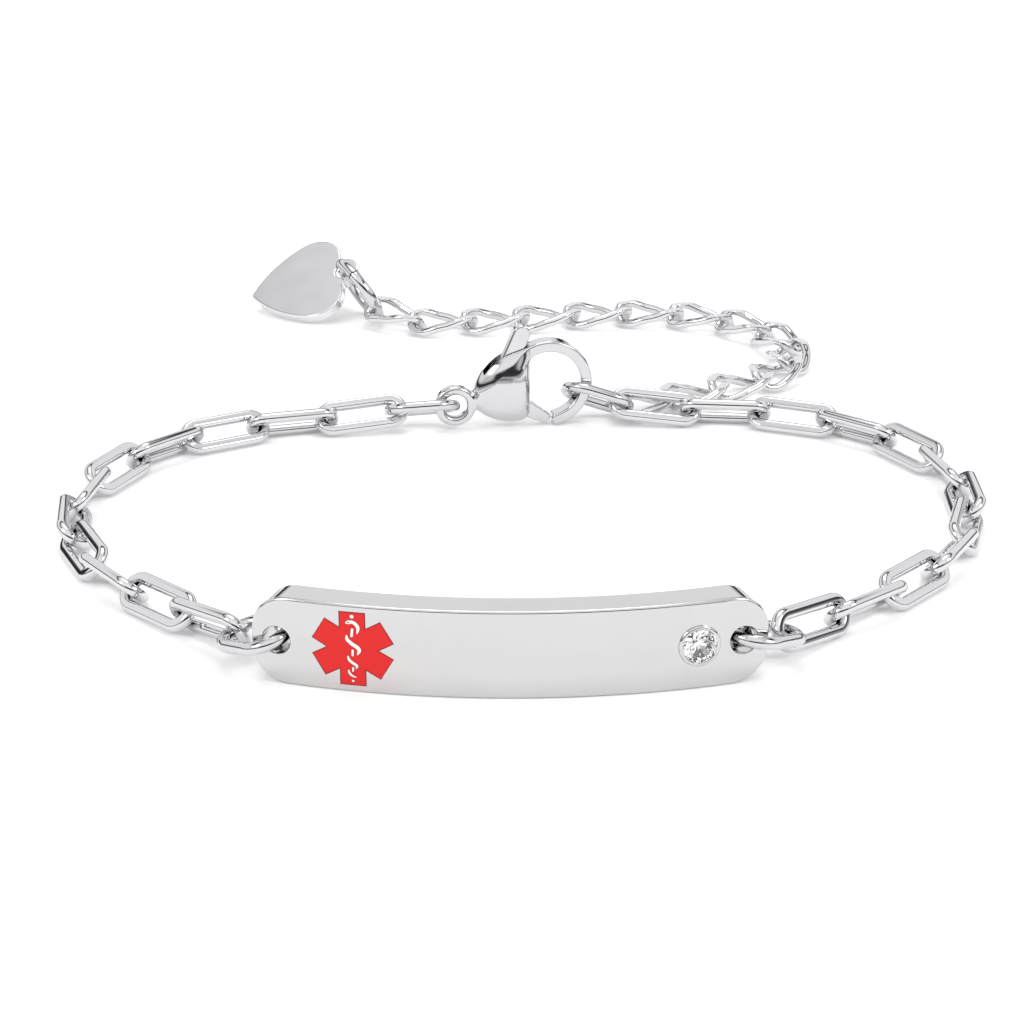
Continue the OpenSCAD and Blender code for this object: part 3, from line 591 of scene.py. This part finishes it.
# The heart's thick ring: round wire with its two square ends butted together.
RING_R, RING_WIRE, CUT = 2.95, 1.1, 0.12
WIRE_SIDES, RING_STEPS = 24, 120
# A point lies on the outside of the ring past this, and near an angle within these degrees of it.
OUTSIDE, NEAR = RING_R + 0.4, 0.6


def heart_ring_mesh():
    """The ring is drawn round its own middle, from one side of the cut to the other."""
    # The middle is that of the circle that best fits the solid's outermost points.
    flat = (ring_points - ring_mid) @ ring_axes
    terms = np.c_[2 * flat[:, :2], np.ones(len(flat))]
    outer = np.hypot(flat[:, 0], flat[:, 1]) > OUTSIDE
    fit = np.linalg.lstsq(terms[outer], (flat[outer, :2] ** 2).sum(1), rcond=None)[0]
    middle = ring_mid + ring_axes[:, :2] @ fit[:2]
    # The cut is where the solid has its two flat ends, so most points lie near that angle.
    spin = np.sort(np.degrees(np.arctan2(flat[:, 1] - fit[1], flat[:, 0] - fit[0])))
    ends = [(np.sum(np.abs((spin - s + 180) % 360 - 180) < NEAR), s) for s in spin[::3]]
    cut = radians(max(ends)[1])
    half = CUT / 2 / RING_R
    points, faces = [], []
    for i in range(RING_STEPS + 1):
        a = cut + half + (2 * pi - 2 * half) * i / RING_STEPS
        for k in range(WIRE_SIDES):
            b = 2 * pi * k / WIRE_SIDES
            r = RING_R + RING_WIRE / 2 * cos(b)
            points.append((r * cos(a), r * sin(a), RING_WIRE / 2 * sin(b)))
    for i in range(0, RING_STEPS * WIRE_SIDES, WIRE_SIDES):
        for k in range(WIRE_SIDES):
            j = (k + 1) % WIRE_SIDES
            faces.append((i + k, i + WIRE_SIDES + k, i + WIRE_SIDES + j, i + j))
    faces.append(tuple(range(WIRE_SIDES)))
    faces.append(tuple(RING_STEPS * WIRE_SIDES + k for k in reversed(range(WIRE_SIDES))))
    mesh = mesh_of("heart_split_ring", points, faces)
    mesh.shade_smooth()
    mesh.set_sharp_from_angle(angle=RING_CREASE)
    mesh.transform(placement(middle, ring_axes))
    return mesh


piece("heart_split_ring", heart_ring_mesh(), ring_steel, "ring_steel", "bracelet", "heart_ring")

# Plate: drawn flat with X along it, Y its depth and Z up, then bent round its upright axis.
# The seats of the star and the stone are a gap wider than what they hold.
PLATE_LEN, PLATE_H, PLATE_T, BEND_R = 34, 6.2, 2.4, 48
CORNER_R, CORNER_STEPS, EDGE_R = 2.5, 12, 0.2
FACE, BACK, MID_Z = -PLATE_T / 2, PLATE_T / 2, PLATE_H / 2
HOLE_AT, HOLE_D, HOLE_EDGE_R = 15.25, 1.92, 0.08
STAR_AT, STAR_H, ARM_W, STAR_GAP = -10.1, 5.2, 1.7, 0.025
ENAMEL_T, ENAMEL_GAP = 0.25, 0.02
STONE_AT, STONE_R, STONE_GAP, STONE_SEAT = 12.2, 1.225, 0.05, 1.25
RIM_W, RIM_H = 0.18, 0.15
# The bend is made in strips this wide.
STRIP = 0.75
plate_low, plate_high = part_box("plate")
plate_x = (plate_low.x + plate_high.x) / 2
bend_axis = Vector((plate_x / MM, plate_low.y / MM + BEND_R + PLATE_T / 2, 0))


def round_loop(x, z, r, n=48):
    """A circle of [X, Z]."""
    return [(x + r * cos(2 * pi * k / n), z + r * sin(2 * pi * k / n)) for k in range(n)]


def plate_loop(inset=0.0):
    """The plate's outline with its four round corners, moved in by a distance."""
    r, x_mid, z_top = CORNER_R - inset, PLATE_LEN / 2 - CORNER_R, PLATE_H - CORNER_R
    corners = [(x_mid, z_top, 0), (-x_mid, z_top, 90), (-x_mid, CORNER_R, 180), (x_mid, CORNER_R, 270)]
    turns = [90 * k / CORNER_STEPS for k in range(CORNER_STEPS + 1)]
    return [(x + r * cos(radians(a + turn)), z + r * sin(radians(a + turn)))
            for x, z, a in corners for turn in turns]


def star_loop(grow=0.0):
    """Six arms from three crossed bars, with their inner corners where two bars meet."""
    half, arm = STAR_H / 2 + grow, ARM_W / 2 + grow
    points = []
    for k in range(6):
        a, b = radians(90 - 60 * k), radians(60 - 60 * k)
        out, side = Vector((cos(a), sin(a))), Vector((-sin(a), cos(a)))
        points += [out * half + side * arm, out * half - side * arm]
        points.append(Vector((cos(b), sin(b))) * arm / sin(radians(30)))
    return [(STAR_AT + p.x, MID_Z + p.y) for p in reversed(points)]


def fill(bm, loops, y, facing):
    """Fills the area between loops of [X, Z] at a depth, facing front with -1 or back with 1."""
    edges = []
    for loop in loops:
        verts = [bm.verts.new((x, y, z)) for x, z in loop]
        edges += [bm.edges.new((verts[i], verts[(i + 1) % len(verts)])) for i in range(len(verts))]
    made = bmesh.ops.triangle_fill(bm, use_beauty=True, edges=edges, normal=(0, facing, 0))
    for f in made["geom"]:
        if isinstance(f, bmesh.types.BMFace) and f.normal.y * facing < 0:
            f.normal_flip()


def wall(bm, *rows):
    """Joins loops of [X, Z], each at its depth."""
    rings = [[bm.verts.new((x, y, z)) for x, z in loop] for loop, y in rows]
    for a, b in zip(rings, rings[1:]):
        for i in range(len(a)):
            j = (i + 1) % len(a)
            bm.faces.new((a[i], b[i], b[j], a[j]))


def through_plate(bm, loop_at, r):
    """Adds a wall with rounded edges from the front of the plate to its back, and returns the loop where it
    meets the two faces. loop_at gives the loop at a distance from the edge."""
    arc = [(r * (1 - sin(radians(a))), r * (1 - cos(radians(a)))) for a in (0, 22.5, 45, 67.5, 90)]
    wall(bm, *[(loop_at(d), FACE + y) for d, y in arc], *[(loop_at(d), BACK - y) for d, y in reversed(arc)])
    return loop_at(r)


def cut_and_bend(bm):
    """Closes the drawing, cuts it into strips and bends it round the plate's axis."""
    bmesh.ops.remove_doubles(bm, verts=bm.verts, dist=1e-4)
    bmesh.ops.recalc_face_normals(bm, faces=bm.faces)
    xs = [v.co.x for v in bm.verts]
    for k in range(int(min(xs) / STRIP) - 1, int(max(xs) / STRIP) + 2):
        x = (k + 0.5) * STRIP
        if min(xs) < x < max(xs):
            bmesh.ops.bisect_plane(bm, geom=bm.verts[:] + bm.edges[:] + bm.faces[:], dist=1e-5,
                                   plane_co=(x, 0, 0), plane_no=(1, 0, 0))
    flat = bpy.data.meshes.new("flat")
    bm.to_mesh(flat)
    bm.free()
    flat.shade_smooth()
    flat.set_sharp_from_angle(angle=PLATE_CREASE)
    made = bpy.data.objects.new("flat", flat)
    scene.collection.objects.link(made)
    made.modifiers.new("flat_faces_stay_flat", "WEIGHTED_NORMAL").keep_sharp = True
    depsgraph = bpy.context.evaluated_depsgraph_get()
    mesh = bpy.data.meshes.new_from_object(made.evaluated_get(depsgraph), depsgraph=depsgraph)
    bpy.data.objects.remove(made)
    co = np.empty(len(mesh.vertices) * 3)
    mesh.vertices.foreach_get("co", co)
    co = co.reshape(-1, 3)
    normal = np.array([n.vector for n in mesh.corner_normals])
    corner = np.empty(len(mesh.loops), int)
    mesh.loops.foreach_get("vertex_index", corner)
    # Normals and points turn by the same angle, which grows along the plate.
    a = co[corner, 0] / BEND_R
    bent = np.c_[normal[:, 0] * np.cos(a) - normal[:, 1] * np.sin(a),
                 normal[:, 0] * np.sin(a) + normal[:, 1] * np.cos(a), normal[:, 2]]
    a, r = co[:, 0] / BEND_R, BEND_R - co[:, 1]
    co = np.c_[bend_axis.x + r * np.sin(a), bend_axis.y - r * np.cos(a), co[:, 2]] * MM
    mesh.vertices.foreach_set("co", co.ravel())
    mesh.update()
    mesh.normals_split_custom_set([tuple(n) for n in bent])
    return mesh


def ring_hole(side):
    """The loops of a ring hole, at a distance from its edge, left with -1 or right with 1."""
    return lambda d: round_loop(side * HOLE_AT, MID_Z, HOLE_D / 2 + d)


bm = bmesh.new()
loops = [through_plate(bm, plate_loop, EDGE_R)]
loops += [through_plate(bm, ring_hole(side), HOLE_EDGE_R) for side in (-1, 1)]
star_seat, stone_seat = star_loop(STAR_GAP), round_loop(STONE_AT, MID_Z, STONE_R + STONE_GAP)
fill(bm, [*loops, star_seat, stone_seat], FACE, -1)
fill(bm, loops, BACK, 1)
for loop, depth in ((star_seat, ENAMEL_T), (stone_seat, STONE_SEAT)):
    wall(bm, (loop, FACE), (loop, FACE + depth))
    fill(bm, [loop], FACE + depth, -1)
piece("identity_plate", cut_and_bend(bm), plate_steel, "plate_steel", "bracelet", "plate")


def raised(bm, loop, rise, bed):
    """A slab with the outline of a loop, from a rise above the face down to its bed below it."""
    fill(bm, [loop], FACE - rise, -1)
    fill(bm, [loop], FACE + bed, 1)
    wall(bm, (loop, FACE - rise), (loop, FACE + bed))


# Emblem: polished enamel, level with the face or hardly above it, with a darker line round it. Each layer has
# how far it grows past the star's outline and how far it rises above the face.
for name, grow, rise, finish, cad_nodes in (
        ("emblem_enamel_rim", 0.0, 0.0, red_edge, ["emblem"]),
        ("emblem_enamel", -0.045, 0.012, red_enamel, [])):
    bm = bmesh.new()
    raised(bm, star_loop(grow), rise, ENAMEL_T - ENAMEL_GAP)
    piece(name, cut_and_bend(bm), finish, "red_enamel", "bracelet", *cad_nodes)


def through(points, n=6):
    """A smooth line through a few points."""
    p = np.array([points[0], *points, points[-1]], float)
    line = []
    for a, b, c, d in zip(p, p[1:], p[2:], p[3:]):
        for t in np.linspace(0, 1, n, endpoint=False):
            bend = (2 * a - 5 * b + 4 * c - d) * t ** 2 + (3 * b - a - 3 * c + d) * t ** 3
            line.append(b + 0.5 * ((c - a) * t + bend))
    return np.array([*line, p[-1]])


def on_star(bm, loop, rise, foot=0.05):
    """A raised stroke whose loop is drawn from the star's middle. Its foot is sunk into the enamel."""
    raised(bm, [(STAR_AT + x, MID_Z + z) for x, z in loop], rise, foot)


def ribbon(bm, points, grow, rise, end_steps=8):
    """A raised line with round ends, drawn through points of [X, Z, width]."""
    line = through(points)
    p, w = line[:, :2], line[:, 2:] / 2 + grow
    t = np.gradient(p, axis=0)
    t /= np.linalg.norm(t, axis=1)[:, None]
    n = np.c_[-t[:, 1], t[:, 0]]
    ends = []
    for at, way, r in ((p[-1], t[-1], w[-1]), (p[0], -t[0], w[0])):
        side = np.array([way[1], -way[0]])
        turns = [pi * k / end_steps for k in range(1, end_steps)]
        ends.append([at + r * (side * cos(a) + way * sin(a)) for a in turns])
    on_star(bm, [*(p - n * w), *ends[0], *(p + n * w)[::-1], *ends[1]], rise)


# The snake passes behind and in front of the staff, so both are drawn as separate strokes.
snake = [
    [(-0.36, 1.84, 0.16), (-0.24, 1.88, 0.26), (0.02, 1.91, 0.23),
     (0.25, 1.77, 0.24), (0.39, 1.5, 0.23), (0.33, 1.15, 0.1)],
    [(-0.37, 0.9, 0.12), (-0.33, 0.64, 0.24), (0.0, 0.34, 0.25),
     (0.34, 0.12, 0.26), (0.44, -0.1, 0.24), (0.33, -0.36, 0.1)],
    [(-0.31, -0.56, 0.1), (-0.22, -0.82, 0.19), (0.04, -1.03, 0.19),
     (0.27, -1.19, 0.17), (0.23, -1.36, 0.08)],
    [(-0.29, -1.56, 0.09), (-0.22, -1.77, 0.15), (-0.03, -1.95, 0.13), (0.22, -2.02, 0.05)]]
staff = [
    [(0.01, 1.38, 0.18), (-0.04, 0.92, 0.17)],
    [(0.01, -0.12, 0.16), (0.0, -0.46, 0.15)],
    [(0.02, -1.36, 0.13), (0.0, -1.58, 0.12)]]
# The staff's two knobs, each with its height and radius, and the snake's eye with its place, radius and rise.
knobs = ((2.3, 0.13), (-2.3, 0.085))
snake_eye, snake_eye_r, snake_eye_rise = (-0.25, 1.88), 0.06, 0.032
for name, grow, rise, finish in (
        ("emblem_stroke_rims", 0.035, 0.018, red_edge),
        ("emblem_staff_and_snake", 0.0, 0.026, white_enamel)):
    bm = bmesh.new()
    for stroke in snake + staff:
        ribbon(bm, stroke, grow, rise)
    for z, r in knobs:
        on_star(bm, round_loop(0, z, r + grow, 20), rise)
    piece(name, cut_and_bend(bm), finish, "red_enamel", "bracelet")
bm = bmesh.new()
on_star(bm, round_loop(*snake_eye, snake_eye_r, 12), snake_eye_rise)
piece("emblem_snake_eye", cut_and_bend(bm), red_enamel, "red_enamel", "bracelet")


# Stone: a round brilliant in a bright-cut rim.


def on_plate(x, z, depth):
    """The matrix of a place on the plate whose Z points out of its face."""
    a = x / BEND_R
    out = np.array([sin(a), -cos(a), 0])
    along = np.array([cos(a), sin(a), 0])
    at = np.array([bend_axis.x, bend_axis.y, z]) + (BEND_R - depth) * out
    return placement(at, np.c_[along, [0, 0, 1], out])


def brilliant(r):
    """57 facets: table, stars, kites and girdle facets above, and the pavilion to a point below."""
    table_z, girdle_z, deep = 0.34 * r, 0.03 * r, 0.86 * r
    table_r, star_r, pavilion_r = 0.56 * r, 0.8 * r, 0.26 * r
    c = cos(pi / 8)

    def spot(rad, k, z):
        return rad * cos(pi * k / 8), rad * sin(pi * k / 8), z

    star_z = table_z - (star_r * c - table_r) * (table_z - girdle_z) / (r - table_r)
    pavilion_z = -girdle_z - (deep - girdle_z) * (1 - pavilion_r * c / r)
    points = [spot(table_r, 2 * k, table_z) for k in range(8)]
    points += [spot(star_r, 2 * k + 1, star_z) for k in range(8)]
    points += [spot(r, k, girdle_z) for k in range(16)] + [spot(r, k, -girdle_z) for k in range(16)]
    points += [spot(pavilion_r, 2 * k + 1, pavilion_z) for k in range(8)] + [(0, 0, -deep)]
    # The points come in rings: 8 of the table, 8 of the stars, 16 above and 16 below the girdle, and 8 of the
    # pavilion.
    culet = len(points) - 1
    faces = [tuple(range(8))]
    for k in range(8):
        star, last_star = 8 + k, 8 + (k - 1) % 8
        main, last_main = 48 + k, 48 + (k - 1) % 8
        g = [16 + (2 * k + i) % 16 for i in range(3)]
        h = [32 + (2 * k + i) % 16 for i in range(3)]
        faces += [(k, star, (k + 1) % 8), (k, last_star, g[0], star), (star, g[0], g[1]), (star, g[1], g[2]),
                  (g[0], h[0], h[1], g[1]), (g[1], h[1], h[2], g[2]),
                  (h[0], main, h[1]), (h[1], main, h[2]), (last_main, culet, main, h[0])]
    mesh = mesh_of("brilliant", points, faces)
    bm = bmesh.new()
    bm.from_mesh(mesh)
    bmesh.ops.recalc_face_normals(bm, faces=bm.faces)
    bm.to_mesh(mesh)
    bm.free()
    return mesh


def turned(profile, n=72):
    """A shape turned on a lathe from points of [radius, height]."""
    points = [(r * cos(2 * pi * k / n), r * sin(2 * pi * k / n), z) for r, z in profile for k in range(n)]
    faces = [(i * n + k, i * n + (k + 1) % n, (i + 1) * n + (k + 1) % n, (i + 1) * n + k)
             for i in range(len(profile) - 1) for k in range(n)]
    mesh = mesh_of("turned", points, faces)
    bm = bmesh.new()
    bm.from_mesh(mesh)
    bmesh.ops.remove_doubles(bm, verts=bm.verts, dist=1e-5)
    bmesh.ops.recalc_face_normals(bm, faces=bm.faces)
    bm.to_mesh(mesh)
    bm.free()
    mesh.shade_smooth()
    mesh.set_sharp_from_angle(angle=PLATE_CREASE)
    return mesh


stone = brilliant(STONE_R)
stone.transform(on_plate(STONE_AT, MID_Z, FACE - RIM_H / 2))
piece("stone_brilliant", stone, zirconia, "clear_stone", "bracelet", "stone")
# The rim's section runs from its foot inside, over its bright-cut lip, to its foot outside.
rim_in, rim_out = STONE_R - 0.06, STONE_R + STONE_GAP + RIM_W
rim = turned([
    (rim_in + 0.09, -0.3), (rim_in, 0.13), (rim_in + 0.03, RIM_H + 0.01), (rim_in + 0.09, RIM_H + 0.03),
    (rim_out - 0.08, RIM_H), (rim_out - 0.02, RIM_H * 0.55), (rim_out, 0), (rim_out, -0.25),
    (rim_in + 0.09, -0.3)])
rim.transform(on_plate(STONE_AT, MID_Z, FACE))
piece("stone_rim", rim, plate_steel, "plate_steel", "bracelet")

# Floor, light and camera, in metres. The floor lies just under what rests on it.
FLOOR, FLOOR_Z = 1.5, -0.00003
floor_corners = [(x * FLOOR, y * FLOOR, FLOOR_Z) for x, y in ((-1, -1), (1, -1), (1, 1), (-1, 1))]
floor_mesh = mesh_of("floor", floor_corners, [(0, 1, 2, 3)])
floor = bpy.data.objects.new("floor", floor_mesh)
scene.collection.objects.link(floor)
# Matt paper, lit a little from within so that it stays as white as the photo's ground.
matte, t = material("pale_matte_paper")
paper = node(t, "ShaderNodeTexNoise", {}, {"Scale": 900.0})
tone = node(t, "ShaderNodeMix", {"data_type": "RGBA"}, {
    "Factor": paper.outputs[0], 6: linear("#FAFAFA"), 7: linear("#FDFDFD")})
sheet = node(t, "ShaderNodeBsdfPrincipled", {}, {
    "Base Color": tone.outputs[2], "Roughness": 0.9, "Specular IOR Level": 0.1,
    "Emission Color": (1, 1, 1, 1), "Emission Strength": 0.12})
node(t, "ShaderNodeOutputMaterial", {}, {"Surface": sheet.outputs[0]})
floor_mesh.materials.append(matte)

world = bpy.data.worlds.new("soft_studio")
scene.world = world
world.use_nodes = True
t = world.node_tree
t.nodes.clear()
way = node(t, "ShaderNodeSeparateXYZ", {}, {0: node(t, "ShaderNodeTexCoord").outputs["Generated"]})


def bands(value, stops):
    """Bands of light along one direction, from stops of [place, light]."""
    ramp = node(t, "ShaderNodeValToRGB", {}, {0: value})
    made = ramp.color_ramp.elements
    while len(made) > 1:
        made.remove(made[0])
    made[0].position, made[0].color = stops[0][0], (stops[0][1],) * 3 + (1,)
    for at, v in stops[1:]:
        made.new(at).color = (v, v, v, 1)
    return ramp.outputs[0]


# The studio is a bright tent. Each stop has a height, from 0 at the table to 1 straight above, and its light.
# Two dark strips run round the tent, low and high. On the camera's side a low dark flag takes their place.
# The steel shows them as its dark lines.
tent = bands(way.outputs[2], [
    (0.0, 0.7), (0.07, 0.55), (0.1, 0.05), (0.17, 0.03), (0.21, 0.8), (0.28, 1.1),
    (0.6, 1.05), (0.67, 0.5), (0.71, 0.06), (0.77, 0.08), (0.83, 0.9), (1.0, 1.05)])
camera_side = bands(way.outputs[2], [
    (0.0, 0.75), (0.04, 0.6), (0.07, 0.05), (0.36, 0.04), (0.42, 0.9), (0.48, 1.25), (1.0, 1.15)])
in_front = node(t, "ShaderNodeMapRange", {}, {
    "Value": way.outputs[1], "From Min": -0.4, "From Max": -0.25, "To Min": 1.0, "To Max": 0.0})
aside = node(t, "ShaderNodeMath", {"operation": "ABSOLUTE"}, {0: way.outputs[0]})
middle = node(t, "ShaderNodeMapRange", {}, {
    "Value": aside.outputs[0], "From Min": 0.34, "From Max": 0.5, "To Min": 1.0, "To Max": 0.3})
share = node(t, "ShaderNodeMath", {"operation": "MULTIPLY"}, {0: in_front.outputs[0], 1: middle.outputs[0]})
studio = node(t, "ShaderNodeMix", {"data_type": "RGBA"}, {
    "Factor": share.outputs[0], 6: tent, 7: camera_side})
glow = node(t, "ShaderNodeBackground", {}, {0: studio.outputs[2], 1: 1.0})
node(t, "ShaderNodeOutputWorld", {}, {0: glow.outputs[0]})

# The camera and the lamps look at a point of the table inside the loop, this many millimetres to the right of
# the plate's middle and behind its front.
AIM_ASIDE, AIM_BEHIND = 0.11, 32.98
AIM = Vector((plate_x + AIM_ASIDE * MM, plate_low.y + AIM_BEHIND * MM, 0))
for name, at, size, power in (
        ("left_softbox", (-0.28, -0.2, 0.26), 0.14, 0.3),
        ("right_softbox", (0.28, -0.16, 0.24), 0.14, 0.3),
        ("top_softbox", (0.0, 0.12, 0.5), 0.25, 0.5)):
    lamp = bpy.data.lights.new(name, "AREA")
    lamp.shape, lamp.size, lamp.energy = "SQUARE", size, power
    box = bpy.data.objects.new(name, lamp)
    box.location = at
    box.rotation_mode = "QUATERNION"
    box.rotation_quaternion = (AIM - Vector(at)).to_track_quat("-Z", "Y")
    scene.collection.objects.link(box)

CAMERA_UP, CAMERA_AWAY, LENS, SENSOR, NEAREST = radians(21.7), 0.1933, 87.72, 36, 0.001
camera = bpy.data.objects.new("camera", bpy.data.cameras.new("camera"))
camera.data.lens, camera.data.sensor_width, camera.data.clip_start = LENS, SENSOR, NEAREST
back = Vector((0, -cos(CAMERA_UP), sin(CAMERA_UP)))
camera.location = AIM + back * CAMERA_AWAY
camera.rotation_mode = "QUATERNION"
camera.rotation_quaternion = (-back).to_track_quat("-Z", "Y")
scene.collection.objects.link(camera)
scene.camera = camera
scene.view_settings.view_transform = "Standard"
